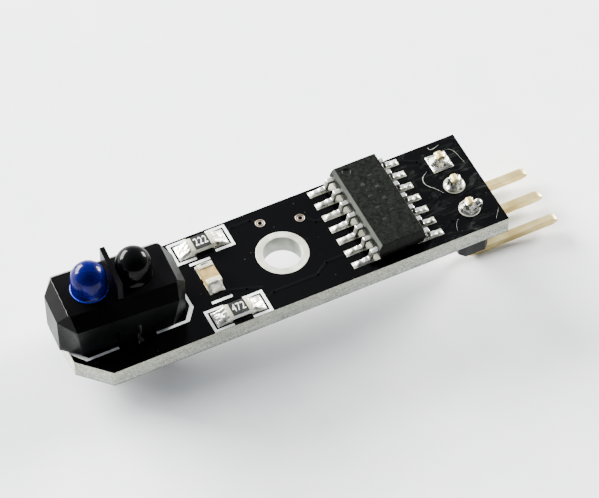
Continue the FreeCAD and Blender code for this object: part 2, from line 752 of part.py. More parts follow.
def end_capped_chip(prefix, kind, along_y):
    """A block with a metal cap around each end, centred at the prefix's x and y."""
    x = f"{prefix}_x"
    y = f"{prefix}_y"
    length = f"{kind}_length - 2 * cap_sheet"
    height = f"{kind}_height - 2 * cap_sheet"
    base = f"{SEAT} + cap_sheet"

    def block(name, shift, z, size_long, size_high):
        if along_y:
            return box(name, x, f"({y} + {shift})", z, f"{kind}_width", size_long, size_high)
        return box(name, f"({x} + {shift})", y, z, size_long, f"{kind}_width", size_high)

    core = block(f"{prefix}_block", "0", base, length, height)
    named(core, f"{prefix}_body")
    for side, end in ((-1, "a"), (1, "b")):
        shift = f"{side} * ({kind}_length - {kind}_cap) / 2"
        cap = block(f"{prefix}_cap_{end}", shift, SEAT, f"{kind}_cap", f"{kind}_height")
        named(less(f"{prefix}_shell_{end}", cap, core), f"{prefix}_terminal_{end}")


def overcoat(prefix):
    """The dark glass over the resistor's film, between the caps."""
    coat = box(f"{prefix}_glass", f"{prefix}_x", f"{prefix}_y",
               f"{SEAT} + resistor_height - cap_sheet",
               "resistor_length - 2 * resistor_cap", "resistor_width", "1.4 * cap_sheet")
    named(coat, f"{prefix}_overcoat")


def chip_fillets(prefix, kind, turns):
    """Solder from each end cap out to the end of its pad."""
    fillets = []
    reach = f"{kind}_pad_reach - {kind}_length / 2 - 0.05"
    for side, turn in zip((-1, 1), turns):
        shift = f"{side} * {kind}_length / 2"
        if kind == "capacitor":
            x, y = f"{prefix}_x", f"({prefix}_y + {shift})"
        else:
            x, y = f"({prefix}_x + {shift})", f"{prefix}_y"
        fillets.append(wedge(f"{prefix}_fillet", x, y, "board_thickness + pad_rise", reach,
                             f"0.7 * {kind}_height", f"{kind}_width", turn))
    return fillets


def build_chips():
    for prefix in ("rear_resistor", "front_resistor"):
        end_capped_chip(prefix, "resistor", along_y=False)
        overcoat(prefix)
    end_capped_chip("capacitor", "capacitor", along_y=True)
    crosswise = (QUARTER_TURN, QUARTER_TURN.inverted())
    solder = chip_fillets("rear_resistor", "resistor", crosswise)
    solder += chip_fillets("front_resistor", "resistor", crosswise)
    solder += chip_fillets("capacitor", "capacitor", (HALF_TURN, FreeCAD.Rotation()))
    solder += [box(f"part_film_{index}", x, y, "board_thickness + pad_rise", f"{length} - 0.1",
                   f"{width} - 0.1", "solder_film")
               for index, (x, y, length, width) in enumerate(chip_pad_places())]
    named(joined("chip_joints", solder), "chip_solder")


# ---- Header ----

def header_pin(number, y):
    """A square pin, up through the block and board, and level to its free end."""
    label = f"header_pin_{number}"
    body = new_body(label, x="header_x", y=y)
    half = "pin_side / 2"
    slim = "pin_side / 4"
    top = "(board_thickness + pin_top)"
    low = f"(pin_run_z - {half})"
    high = f"(pin_run_z + {half})"
    profile = sketch_on(body, "XZ_Plane")
    polygon(profile, [(f"-{half}", low), ("pin_reach - pin_taper", low),
                      ("pin_reach", f"pin_run_z - {slim}"), ("pin_reach", f"pin_run_z + {slim}"),
                      ("pin_reach - pin_taper", high), (half, high),
                      (half, f"{top} - pin_taper / 2"), (slim, top),
                      (f"-{slim}", top), (f"-{half}", f"{top} - pin_taper / 2")])
    straight = pad(body, profile, "pin_side", "Symmetric")
    doc.recompute()
    round_bend(body, straight)
    return named(body, label)


def round_bend(body, straight):
    """Rounds the inside and the outside of the bend about one centre."""
    half = value("pin_side / 2")
    run = value("pin_run_z")
    bends = [(half, run + half, "pin_bend"), (-half, run - half, "pin_bend + pin_side")]
    feature = straight
    for across, up, radius in bends:
        edge = next(f"Edge{index}" for index, item in enumerate(feature.Shape.Edges, start=1)
                    if all(abs(v.X - across) + abs(v.Z - up) < 1e-6 for v in item.Vertexes))
        fillet = body.newObject("PartDesign::Fillet", f"{body.Name}_bend")
        fillet.Base = (feature, [edge])
        bind(fillet, "Radius", radius)
        doc.recompute()
        feature = fillet


def header_plan(sketch):
    """Three square positions in a row, each with its corners cut."""
    half = "header_pitch / 2"
    right = []
    for step in (-1, 0, 1):
        middle = f"{step} * header_pitch"
        for a in (-1, 1):
            edge = f"{middle} + {a} * {half}"
            inside = f"{edge} - {a} * header_notch"
            pair = [(f"{half} - header_notch", edge), (half, inside)]
            if step * a == 1 or a == -1:
                right += pair if a < 0 else pair[::-1]
            else:
                right.append(pair[1])
    left = [(f"-({across})", up) for across, up in reversed(right)]
    polygon(sketch, right + left)


def build_header():
    pins = [header_pin(number, y) for number, y in header_places()]
    block = new_body("header_block", x="header_x", y="header_y", z="-header_height - pad_rise")
    plan = sketch_on(block, "XY_Plane")
    header_plan(plan)
    for step in (-1, 0, 1):
        rectangle(plan, "0", f"{step} * header_pitch", "pin_side", "pin_side")
    pad(block, plan, "header_height")
    named(block, "header_housing")

    joints = []
    for number, y in header_places():
        joints.append(cylinder(f"fill_{number}", "header_x", y, "-pad_rise", "pin_hole",
                               "board_thickness + 2 * pad_rise"))
        joints.append(cone(f"joint_{number}", "header_x", y, "board_thickness + pad_rise",
                           "pin_square_pad - 0.1", "1.3 * pin_side", "joint_height"))
    named(less("header_joints", joined("header_cones", joints), joined("all_pins", pins)),
          "header_solder")


def check_document():
    for item in doc.Objects:
        if any(word in ("Invalid", "Error") for word in item.State):
            raise RuntimeError(f"{item.Name}: {item.State}")
    for node in nodes:
        if node.Shape.isNull() or not node.Shape.isValid() or not node.Shape.Solids:
            raise RuntimeError(f"{node.Label}: bad shape")


def export_nodes():
    os.makedirs("parts", exist_ok=True)
    for node in nodes:
        node.Shape.exportStep(f"parts/{node.Label}.step")


fill_sheet()
build_board()
build_copper()
build_legend()
build_sensor()
build_comparator()
build_chips()
build_header()
doc.recompute()
check_document()
export_nodes()
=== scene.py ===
import bmesh
import bpy
import json
import math
from mathutils import Matrix, Quaternion, Vector, noise


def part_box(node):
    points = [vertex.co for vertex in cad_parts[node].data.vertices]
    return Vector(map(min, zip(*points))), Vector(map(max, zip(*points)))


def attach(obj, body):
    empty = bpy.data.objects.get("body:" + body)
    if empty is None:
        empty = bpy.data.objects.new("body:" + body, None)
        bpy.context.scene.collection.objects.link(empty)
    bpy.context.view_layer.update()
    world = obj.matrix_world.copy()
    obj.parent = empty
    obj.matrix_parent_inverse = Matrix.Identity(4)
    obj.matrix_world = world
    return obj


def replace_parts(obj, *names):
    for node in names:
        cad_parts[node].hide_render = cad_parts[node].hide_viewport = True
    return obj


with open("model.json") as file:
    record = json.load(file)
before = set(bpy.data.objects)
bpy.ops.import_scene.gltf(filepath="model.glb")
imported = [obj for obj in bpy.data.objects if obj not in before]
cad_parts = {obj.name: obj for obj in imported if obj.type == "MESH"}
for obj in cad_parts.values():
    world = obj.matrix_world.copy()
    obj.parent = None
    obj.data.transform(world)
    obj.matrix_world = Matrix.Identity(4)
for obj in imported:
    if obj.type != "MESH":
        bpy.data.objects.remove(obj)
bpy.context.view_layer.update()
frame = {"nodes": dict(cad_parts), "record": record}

MM = 0.001
BODY = "root"
NODES = frame["nodes"]
SLOT_OF = {row["node"]: row["material_slot"] for row in frame["record"]["subparts"]}


def box(node):
    """The low and high corners of a CAD node, in millimetres."""
    return tuple(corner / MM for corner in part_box(node))


def middle(node):
    """The centre of a CAD node's box, in millimetres."""
    low, high = box(node)
    return (low + high) / 2


MASK_TOP = box("solder_mask_top")[1].z
MASK_LOW = box("solder_mask_bottom")[0].z
PAD_TOP = box("chip_pads")[1].z

# The sensor's top face, its centre and its turn on the board, and its two castings.
HOUSING_TOP = 6.2
HOUSING_X = -13.83
SENSOR_TURN = math.radians(-3.5)
LENS_RADIUS = 1.373
DOME_HEIGHT = 1.375
LENS_FOOT = (3.1, 4.0, 1.24)
SENSOR_LEADS = ("emitter_anode_lead", "emitter_cathode_lead", "detector_collector_lead",
                "detector_emitter_lead")


# ---- Node materials ----

class Shader:
    """A principled material whose inputs are wired from small procedural textures."""

    def __init__(self, name, **constants):
        self.material = bpy.data.materials.new(name)
        self.material.use_nodes = True
        self.tree = self.material.node_tree
        self.surface = self.tree.nodes["Principled BSDF"]
        self.coords = self.tree.nodes.new("ShaderNodeTexCoord").outputs["Object"]
        for socket, value in constants.items():
            self.surface.inputs[socket.replace("_", " ")].default_value = value

    def plug(self, socket, value):
        """Feed a socket from another node's output, or set it to a constant."""
        if isinstance(value, bpy.types.NodeSocket):
            self.tree.links.new(value, socket)
        else:
            socket.default_value = (*value, 1.0) if socket.type == "RGBA" else value

    def node(self, kind, inputs=None, **settings):
        """Add a node with its settings, and fill the inputs that are named."""
        item = self.tree.nodes.new(kind)
        for key, value in settings.items():
            setattr(item, key, value)
        for key, value in (inputs or {}).items():
            self.plug(item.inputs[key], value)
        return item

    def noise(self, per_metre, detail=4.0, rough=0.5, stretch=None, distortion=0.0):
        """Cloudy noise from 0 to 1, squeezed along the axes by `stretch`."""
        vector = self.coords
        if stretch:
            inputs = {"Vector": vector, "Scale": stretch}
            vector = self.node("ShaderNodeMapping", inputs).outputs["Vector"]
        inputs = {"Vector": vector, "Scale": per_metre, "Detail": detail, "Roughness": rough,
                  "Distortion": distortion}
        return self.node("ShaderNodeTexNoise", inputs).outputs["Fac"]

    def cells(self, per_metre):
        """Distance to the nearest of many scattered points."""
        inputs = {"Vector": self.coords, "Scale": per_metre}
        return self.node("ShaderNodeTexVoronoi", inputs, feature="F1").outputs["Distance"]

    def ramp(self, factor, *stops):
        """Colours or greys along a factor: each stop is (position, value)."""
        item = self.node("ShaderNodeValToRGB", {"Fac": factor})
        elements = item.color_ramp.elements
        while len(elements) < len(stops):
            elements.new(0.5)
        for element, (position, value) in zip(elements, stops):
            element.position = position
            colour = (value, value, value) if isinstance(value, (int, float)) else value
            element.color = (*colour, 1.0)
        return item.outputs["Color"]

    def maths(self, operation, first, second):
        """One sum of two numbers or outputs."""
        item = self.node("ShaderNodeMath", operation=operation)
        self.plug(item.inputs[0], first)
        self.plug(item.inputs[1], second)
        return item.outputs["Value"]

    def mix(self, factor, first, second):
        """Blend two colours; sockets 0, 6 and 7 are the factor and the colours of this node."""
        item = self.node("ShaderNodeMix", data_type="RGBA", blend_type="MIX")
        for index, value in ((0, factor), (6, first), (7, second)):
            self.plug(item.inputs[index], value)
        return item.outputs[2]

    def set(self, socket, output):
        """Wire an output to an input of the surface."""
        self.tree.links.new(output, self.surface.inputs[socket])

    def bump(self, height, depth):
        """Relief: `depth` is the height in millimetres of a full step of the texture."""
        inputs = {"Height": height, "Strength": 1.0, "Distance": depth * MM}
        self.set("Normal", self.node("ShaderNodeBump", inputs).outputs["Normal"])

    def axis(self, name):
        """The place along X, Y or Z, in metres."""
        return self.node("ShaderNodeSeparateXYZ", {"Vector": self.coords}).outputs[name]


def mask_material():
    """Gloss black solder mask, wiped clean but for a little dust and flux haze by the header."""
    s = Shader("black_solder_mask", Specular_IOR_Level=0.08)
    peel = s.noise(700, 3)
    wipe = s.noise(520, 8, 0.7, stretch=(1.0, 2.6, 1.0), distortion=0.8)
    dust = s.ramp(s.cells(1300), (0.03, 1.0), (0.06, 0.0))
    by_header = s.ramp(s.axis("X"), (0.0095, 0.0), (0.0125, 1.0))
    haze = s.maths("MULTIPLY", by_header, s.ramp(wipe, (0.52, 0.0), (0.72, 1.0)))
    base = s.mix(haze, (0.0012, 0.0012, 0.0014), (0.016, 0.018, 0.016))
    s.set("Base Color", s.mix(s.maths("MULTIPLY", dust, 0.12), base, (0.30, 0.30, 0.28)))
    s.set("Roughness", s.ramp(haze, (0.0, 0.16), (1.0, 0.5)))
    s.bump(s.maths("ADD", peel, s.maths("MULTIPLY", haze, 0.6)), 0.004)
    return s.material


def laminate_material():
    """Sawn glass-fibre edge: grey layers, bright fibre ends and a yellow resin line at the top."""
    s = Shader("glass_fibre_edge", Specular_IOR_Level=0.4)
    layers = s.noise(1400, 5, 0.65, stretch=(0.5, 0.5, 2.6))
    speck = s.ramp(s.cells(5200), (0.12, 1.0), (0.40, 0.0))
    pits = s.ramp(s.noise(5200, 3, 0.7), (0.50, 0.0), (0.62, 1.0))
    base = s.ramp(layers, (0.30, (0.24, 0.26, 0.22)), (0.52, (0.42, 0.44, 0.40)),
                  (0.72, (0.58, 0.60, 0.56)))
    base = s.mix(speck, base, (0.80, 0.82, 0.78))
    base = s.mix(s.maths("MULTIPLY", pits, 0.6), base, (0.10, 0.11, 0.09))
    rim = s.ramp(s.axis("Z"), (0.00138, 0.0), (0.00152, 1.0))
    s.set("Base Color", s.mix(s.maths("MULTIPLY", rim, 0.6), base, (0.60, 0.57, 0.30)))
    s.set("Roughness", s.ramp(layers, (0.2, 0.5), (0.8, 0.8)))
    s.bump(s.maths("ADD", layers, speck), 0.035)
    return s.material


def ink_material():
    """White legend ink, slightly mottled."""
    s = Shader("white_legend_ink", Specular_IOR_Level=0.4)
    grain = s.noise(2600, 5, 0.6)
    s.set("Base Color", s.ramp(grain, (0.3, (0.72, 0.74, 0.73)), (0.6, (0.90, 0.91, 0.90))))
    s.set("Roughness", s.ramp(grain, (0.3, 0.6), (0.7, 0.45)))
    s.bump(grain, 0.008)
    return s.material


def metal_material(name, low, high, rough, relief, per_metre, *, metallic, stretch=None):
    """Plated or soldered metal with slow tone changes and a fine relief."""
    s = Shader(name, Metallic=metallic)
    tone = s.noise(per_metre * 0.35, 4)
    fine = s.noise(per_metre, 6, 0.6, stretch=stretch)
    s.set("Base Color", s.ramp(tone, (0.35, low), (0.65, high)))
    s.set("Roughness", s.ramp(fine, (0.3, rough[0]), (0.7, rough[1])))
    s.bump(fine, relief)
    return s.material


def plastic_material(name, dark, light, rough, relief, per_metre, *, level):
    """Moulded plastic with a fine spark-eroded grain and slightly worn patches."""
    s = Shader(name, Specular_IOR_Level=level)
    grain = s.noise(per_metre, 3, 0.6)
    wear = s.noise(per_metre * 0.1, 5)
    s.set("Base Color", s.ramp(wear, (0.35, dark), (0.7, light)))
    s.set("Roughness", s.ramp(wear, (0.3, rough[0]), (0.7, rough[1])))
    s.bump(grain, relief)
    return s.material


def compound_material():
    """Charcoal mould compound with a coarse, glittering grain."""
    s = Shader("charcoal_compound", Specular_IOR_Level=0.06)
    grain = s.noise(4200, 3, 0.7)
    fleck = s.ramp(s.cells(5200), (0.05, 1.0), (0.16, 0.0))
    base = s.ramp(grain, (0.35, (0.0010, 0.0012, 0.0010)), (0.7, (0.0065, 0.008, 0.006)))
    s.set("Base Color", s.mix(s.maths("MULTIPLY", fleck, 0.25), base, (0.05, 0.058, 0.044)))
    s.set("Roughness", s.ramp(grain, (0.3, 0.34), (0.7, 0.5)))
    s.bump(grain, 0.03)
    return s.material


def epoxy_material(name, colour, transmission, rough, coat):
    """Cast epoxy: light spreads inside it, under a polished skin with faint flow marks."""
    s = Shader(name, Transmission_Weight=transmission, IOR=1.15, Specular_IOR_Level=0.05,
               Coat_Weight=coat, Coat_Roughness=0.06)
    flow = s.noise(260, 2)
    s.set("Base Color", s.ramp(flow, (0.3, colour), (0.7, tuple(c * 1.2 for c in colour))))
    s.set("Roughness", s.ramp(flow, (0.3, rough), (0.7, rough + 0.06)))
    s.bump(flow, 0.003)
    return s.material


def ceramic_material(name, low, high, rough):
    """A dense, fine-grained surface between two tones."""
    s = Shader(name, Specular_IOR_Level=0.4)
    grain = s.noise(3200, 4, 0.6)
    s.set("Base Color", s.ramp(grain, (0.3, low), (0.7, high)))
    s.set("Roughness", s.ramp(grain, (0.3, rough[0]), (0.7, rough[1])))
    s.bump(grain, 0.01)
    return s.material


MATERIALS = {
    "solder_mask": mask_material(),
    "fibreglass": laminate_material(),
    "legend_ink": ink_material(),
    "tinned_copper": metal_material(
        "tinned_copper_pad", (0.56, 0.56, 0.44), (0.84, 0.83, 0.70), (0.35, 0.55), 0.02, 1800,
        metallic=0.6),
    "solder": metal_material(
        "bright_solder", (0.26, 0.26, 0.22), (0.95, 0.94, 0.86), (0.18, 0.45), 0.07, 2600,
        metallic=0.85),
    "tinned_steel": metal_material(
        "tinned_lead", (0.66, 0.66, 0.60), (0.96, 0.95, 0.88), (0.16, 0.34), 0.012, 2600,
        stretch=(0.3, 2.0, 1.0), metallic=1.0),
    "pin_plating": metal_material(
        "pale_gold_pin", (0.50, 0.38, 0.14), (0.76, 0.64, 0.32), (0.3, 0.5), 0.010, 1800,
        stretch=(0.15, 2.0, 2.0), metallic=0.8),
    "bond_wire_metal": metal_material(
        "gold_wire", (0.9, 0.62, 0.2), (1.0, 0.8, 0.4), (0.15, 0.25), 0.001, 2600, metallic=1.0),
    "housing_plastic": plastic_material(
        "black_housing", (0.0010, 0.0010, 0.0012), (0.003, 0.003, 0.0034), (0.26, 0.40), 0.010, 2200,
        level=0.04),
    "mould_compound": compound_material(),
    "header_plastic": plastic_material(
        "black_header", (0.0015, 0.0015, 0.0015), (0.004, 0.004, 0.0045), (0.35, 0.55), 0.01, 2600,
        level=0.15),
    "blue_epoxy": epoxy_material("clear_blue_epoxy", (0.0010, 0.0002, 0.16), 0.72, 0.2, 0.12),
    "black_epoxy": epoxy_material(
        "infrared_black_epoxy", (0.0006, 0.0006, 0.0007), 0.0, 0.3, 0.14),
    "silicon": metal_material(
        "polished_silicon", (0.3, 0.32, 0.36), (0.5, 0.52, 0.58), (0.08, 0.15), 0.001, 2600,
        metallic=1.0),
    "ceramic": ceramic_material(
        "white_alumina", (0.72, 0.71, 0.66), (0.88, 0.87, 0.82), (0.5, 0.7)),
    "resistor_glass": ceramic_material(
        "black_overcoat", (0.003, 0.004, 0.003), (0.008, 0.009, 0.008), (0.3, 0.45)),
    "capacitor_ceramic": ceramic_material(
        "tan_ceramic", (0.22, 0.14, 0.035), (0.40, 0.28, 0.10), (0.35, 0.55)),
}
# Second looks within a slot, for faces and pieces that differ from the rest of it; some of them are
# painted highlights and painted shade.
VARIANTS = {
    "end_cap": metal_material(
        "end_cap_silver", (0.40, 0.38, 0.26), (0.62, 0.60, 0.46), (0.4, 0.6), 0.01, 2600,
        metallic=0.4),
    "tented_via": metal_material(
        "tented_via", (0.010, 0.008, 0.006), (0.035, 0.028, 0.020), (0.3, 0.5), 0.01, 2600,
        metallic=0.3),
    # Partly painted highlight: pale copper for the via rims, where the pad edge catches the light.
    "via_glint": metal_material(
        "via_copper_glint", (0.30, 0.24, 0.17), (0.55, 0.47, 0.36), (0.3, 0.5), 0.01, 2600,
        metallic=0.7),
    # Painted shade: a darker tin for the wall inside the fixing hole.
    "shaded_barrel": metal_material(
        "painted_shade_barrel", (0.20, 0.22, 0.19), (0.40, 0.42, 0.37), (0.35, 0.55), 0.03, 1500,
        metallic=0.5),
    "dark_solder": metal_material(
        "grey_solder", (0.24, 0.24, 0.21), (0.80, 0.79, 0.72), (0.12, 0.32), 0.09, 1500,
        metallic=1.0),
    # Painted highlight: a lighter, rougher compound for the comparator's slope that faces the back
    # light; the lighter grey is painted light.
    "painted_slope_light": plastic_material(
        "lit_slope_compound", (0.020, 0.023, 0.020), (0.055, 0.062, 0.053), (0.5, 0.65), 0.01, 2600,
        level=0.05),
    # Painted light: bright blue for the ring of light that the blue lens focuses at its foot.
    "blue_caustic_paint": ceramic_material(
        "painted_blue_caustic", (0.001, 0.006, 0.40), (0.006, 0.04, 0.85), (0.2, 0.35)),
    "flux": ceramic_material(
        "dried_flux", (0.20, 0.21, 0.18), (0.40, 0.41, 0.36), (0.3, 0.5)),
    "laser_mark": plastic_material(
        "laser_mark", (0.006, 0.007, 0.006), (0.016, 0.018, 0.015), (0.5, 0.7), 0.01, 2600,
        level=0.05),
    # Painted shade: a darker metal for the upright sides of the comparator's leads.
    "painted_lead_shade": metal_material(
        "shaded_lead_paint", (0.10, 0.10, 0.09), (0.26, 0.26, 0.23), (0.25, 0.4), 0.01, 2600,
        metallic=1.0),
    # Painted highlight: lighter grey for the bevel along the housing's top −X edge, where it catches
    # the light.
    "painted_edge_highlight": ceramic_material(
        "painted_edge_highlight", (0.22, 0.22, 0.20), (0.45, 0.45, 0.42), (0.3, 0.45)),
    # Painted reflection: mid grey for the −X-facing walls of the housing's clip slits.
    "painted_slit_glint": ceramic_material(
        "painted_slit_glint", (0.09, 0.09, 0.08), (0.19, 0.19, 0.17), (0.4, 0.6)),
}


# ---- Making pieces ----

def finished(obj, slot, variant=None):
    """Give a piece the material of its record slot, or a variant, and its body."""
    obj.data.materials.clear()
    obj.data.materials.append(VARIANTS[variant] if variant else MATERIALS[slot])
    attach(obj, BODY)
    return obj


def new_piece(name, bm, slot, smooth=True, variant=None):
    """Turn a bmesh into a finished piece."""
    bmesh.ops.recalc_face_normals(bm, faces=bm.faces)
    mesh = bpy.data.meshes.new(name)
    bm.to_mesh(mesh)
    bm.free()
    obj = bpy.data.objects.new(name, mesh)
    bpy.context.scene.collection.objects.link(obj)
    if smooth:
        mesh.shade_smooth()
    return finished(obj, slot, variant)


def cad_mesh(node):
    """The node's solid with its flat faces whole again."""
    bm = bmesh.new()
    bm.from_mesh(NODES[node].data)
    bmesh.ops.remove_doubles(bm, verts=bm.verts, dist=0.0005 * MM)
    bmesh.ops.dissolve_limit(bm, angle_limit=math.radians(0.5), verts=bm.verts, edges=bm.edges)
    return bm


def rounded(node, radius, variant=None):
    """A detailed copy of a node with its sharp edges rounded over, which stands for the node."""
    sharp = math.radians(25)
    bm = cad_mesh(node)
    edges = [e for e in bm.edges if e.is_manifold and e.calc_face_angle(0) > sharp]
    bmesh.ops.bevel(bm, geom=edges, offset=radius * MM, offset_type="OFFSET", segments=2,
                    profile=0.5, affect="EDGES", clamp_overlap=True)
    piece = new_piece(f"{node}_shaped", bm, SLOT_OF[node], variant=variant)
    modifier = piece.modifiers.new("normals", "WEIGHTED_NORMAL")
    modifier.keep_sharp = True
    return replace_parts(piece, node)


def refaced(piece, variant, facing):
    """Give a second material to the faces that `facing` picks by normal and centre (mm)."""
    piece.data.materials.append(VARIANTS[variant])
    index = len(piece.data.materials) - 1
    for face in piece.data.polygons:
        if facing(face.normal, face.center / MM):
            face.material_index = index
    return piece


def ripple(x, y, z, per_mm, seed=0.0):
    """Smooth noise of about -1 to 1 at a place in millimetres."""
    return noise.noise(Vector((x * per_mm + seed, y * per_mm - seed, z * per_mm + 0.5 * seed)))


def lathe(bm, x, y, profile, steps=40, wobble=None):
    """A turned shape on a vertical axis at x, y: its profile runs through (radius, z) pairs."""
    rings = []
    for radius, z in profile:
        ring = []
        for step in range(steps):
            angle = 2 * math.pi * step / steps
            reach, lift = wobble(angle, radius, z) if wobble else (radius, z)
            spot = Vector((x + reach * math.cos(angle), y + reach * math.sin(angle), lift))
            ring.append(bm.verts.new(spot * MM))
        rings.append(ring)
    for low, high in zip(rings, rings[1:]):
        for step in range(steps):
            after = (step + 1) % steps
            bm.faces.new((low[step], low[after], high[after], high[step]))
    for ring in (rings[0], rings[-1]):
        bm.faces.new(ring)


def hoop(bm, x, y, z, reach, thick, steps=56):
    """A round wire bent into a circle."""
    sides = 8
    turns = [2 * math.pi * side / sides for side in range(sides)]
    section = [(reach + thick * math.cos(turn), z + thick * math.sin(turn)) for turn in turns]
    loops = []
    for step in range(steps):
        angle = 2 * math.pi * step / steps
        spots = [Vector((x + r * math.cos(angle), y + r * math.sin(angle), h)) for r, h in section]
        loops.append([bm.verts.new(spot * MM) for spot in spots])
    for step in range(steps):
        for side in range(sides):
            after, beside = (step + 1) % steps, (side + 1) % sides
            bm.faces.new((loops[step][side], loops[after][side], loops[after][beside],
                          loops[step][beside]))


def mound(bm, low, high, base, height, cell=0.07, corner=0.10):
    """A closed patch over a rectangle with round corners: its top is `height` at x, y."""
    across = max(2, round((high[0] - low[0]) / cell))
    along = max(2, round((high[1] - low[1]) / cell))
    grid = []
    for i in range(across + 1):
        row = []
        for j in range(along + 1):
            u, v = 2 * i / across - 1, 2 * j / along - 1
            x = (low[0] + high[0]) / 2 + (high[0] - low[0]) / 2 * u * (1 - corner * v ** 4)
            y = (low[1] + high[1]) / 2 + (high[1] - low[1]) / 2 * v * (1 - corner * u ** 4)
            edge = 1 - max(abs(u), abs(v)) ** 6
            z = base + 0.004 + edge * max(0.0, height(x, y))
            row.append(bm.verts.new(Vector((x, y, z)) * MM))
        grid.append(row)
    for i in range(across):
        for j in range(along):
            bm.faces.new((grid[i][j], grid[i + 1][j], grid[i + 1][j + 1], grid[i][j + 1]))
    rim = ([row[0] for row in grid] + grid[-1][1:] + [row[-1] for row in grid[-2::-1]]
           + grid[0][-2:0:-1])
    foot = [bm.verts.new((vert.co.x, vert.co.y, base * MM)) for vert in rim]
    for step, vert in enumerate(rim):
        after = (step + 1) % len(rim)
        bm.faces.new((vert, rim[after], foot[after], foot[step]))
    bm.faces.new(foot)


def thread(name, points, radius, slot, variant):
    """A thin round strand along points in millimetres, tapered at both ends."""
    curve = bpy.data.curves.new(name, "CURVE")
    curve.dimensions = "3D"
    curve.bevel_depth = radius * MM
    curve.bevel_resolution = 2
    spline = curve.splines.new("NURBS")
    spline.points.add(len(points) - 1)
    last = len(points) - 1
    for index, (point, place) in enumerate(zip(spline.points, points)):
        point.co = (*(Vector(place) * MM), 1.0)
        point.radius = 0.3 if index in (0, last) else 1.0
    spline.use_endpoint_u = True
    spline.order_u = 3
    return as_mesh(name, curve, slot, variant)


def as_mesh(name, curve, slot, variant=None):
    """Turn a curve or a text into a finished mesh piece."""
    source = bpy.data.objects.new(f"{name}_source", curve)
    bpy.context.scene.collection.objects.link(source)
    bpy.context.view_layer.update()
    shaped = source.evaluated_get(bpy.context.evaluated_depsgraph_get())
    mesh = bpy.data.meshes.new_from_object(shaped)
    bpy.data.objects.remove(source)
    obj = bpy.data.objects.new(name, mesh)
    bpy.context.scene.collection.objects.link(obj)
    return finished(obj, slot, variant)


# ---- The module's pieces ----

def dress_nodes():
    """Every node's material, and rounded stand-ins for the nodes with plain CAD edges."""
    for name, node in NODES.items():
        node.data.materials.clear()
        node.data.materials.append(MATERIALS[SLOT_OF[name]])
    NODES["vias"].data.materials[0] = VARIANTS["tented_via"]
    for name, radius in (("header_housing", 0.06), ("board_core", 0.02)):
        rounded(name, radius)
    housing = rounded("sensor_housing", 0.05)
    # The bevel along the top −X edge gets a lighter grey: a painted highlight on that edge.
    refaced(housing, "painted_edge_highlight", lambda n, c: (
        -0.75 < n.x < -0.2 and n.z > 0.6 and abs(n.y) < 0.12 and c.x < -17.0))
    # The −X-facing walls of the clip slits get a mid grey: a painted reflection on the black housing.
    refaced(housing, "painted_slit_glint", lambda n, c: (
        n.x < -0.9 and abs(c.y) > 2.0 and 1.75 < c.z < 3.5 and abs(c.x - HOUSING_X) < 1.5))
    # The comparator's slope facing −X and up gets a lighter, rougher compound: the lighter grey is a
    # painted highlight.
    refaced(rounded("comparator_body", 0.04), "painted_slope_light", lambda n, c: n.x < -0.5 and n.z > 0.5)
    # The wall inside the fixing hole gets a darker tin: painted shade in the hole.
    refaced(rounded("hole_plating", 0.02), "shaded_barrel", lambda n, c: abs(n.z) < 0.3)
    for number in (1, 2, 3):
        rounded(f"header_pin_{number}", 0.03)
    # The upright sides of the comparator's leads get a darker metal: painted shade.
    for number in range(1, 15):
        refaced(rounded(f"comparator_lead_{number:02d}", 0.035), "painted_lead_shade",
                lambda n, c: abs(n.z) < 0.45)
    for name in SENSOR_LEADS:
        rounded(name, 0.04)
    for prefix in ("rear_resistor", "front_resistor", "capacitor"):
        for end in ("a", "b"):
            rounded(f"{prefix}_terminal_{end}", 0.02, variant="end_cap")
    for prefix in ("rear_resistor", "front_resistor"):
        rounded(f"{prefix}_overcoat", 0.02)


def make_lens_cast(eye, slot):
    """The polished part of a lens: shank, a fine bead and the dome."""
    low, high = box(f"{eye}_lens")
    centre = high.z - DOME_HEIGHT
    shank_low = low.z + 1.25
    bead = LENS_RADIUS + 0.035
    profile = [(0.4, shank_low), (LENS_RADIUS - 0.05, shank_low), (LENS_RADIUS, shank_low + 0.05),
               (LENS_RADIUS, shank_low + 1.6), (LENS_RADIUS, centre - 1.16),
               (bead, centre - 1.13), (bead, centre - 1.09),
               (LENS_RADIUS, centre - 1.06), (LENS_RADIUS, centre - 0.5)]
    for step in range(22):
        angle = math.pi / 2 * step / 21.5
        profile.append((LENS_RADIUS * math.cos(angle), centre + LENS_RADIUS * math.sin(angle)))
    bm = bmesh.new()
    lathe(bm, (low.x + high.x) / 2, (low.y + high.y) / 2, profile, steps=72)
    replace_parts(new_piece(f"{eye}_lens_cast", bm, slot), f"{eye}_lens")


def make_painted_caustic():
    """A hoop coloured bright blue at the foot of the blue lens: painted light, for the line of blue
    light that the lens focuses there.
    """
    centre = middle("emitter_lens")
    bm = bmesh.new()
    hoop(bm, centre.x, centre.y, HOUSING_TOP + 0.02, LENS_RADIUS + 0.035, 0.045)
    new_piece("emitter_painted_caustic", bm, "blue_epoxy", variant="blue_caustic_paint")


def make_lens_foot(eye, slot):
    """The block foot of a lens, turned with the housing whose socket it fills."""
    low, high = box(f"{eye}_lens")
    centre = Vector(((low.x + high.x) / 2, (low.y + high.y) / 2, low.z + LENS_FOOT[2] / 2))
    turn = Matrix.Rotation(SENSOR_TURN, 4, "Z")
    size = Matrix.Diagonal((*(Vector(LENS_FOOT) * MM), 1))
    bm = bmesh.new()
    bmesh.ops.create_cube(bm, size=1.0, matrix=Matrix.Translation(centre * MM) @ turn @ size)
    bmesh.ops.bevel(bm, geom=bm.edges[:], offset=0.08 * MM, segments=2, affect="EDGES")
    new_piece(f"{eye}_lens_foot", bm, slot)


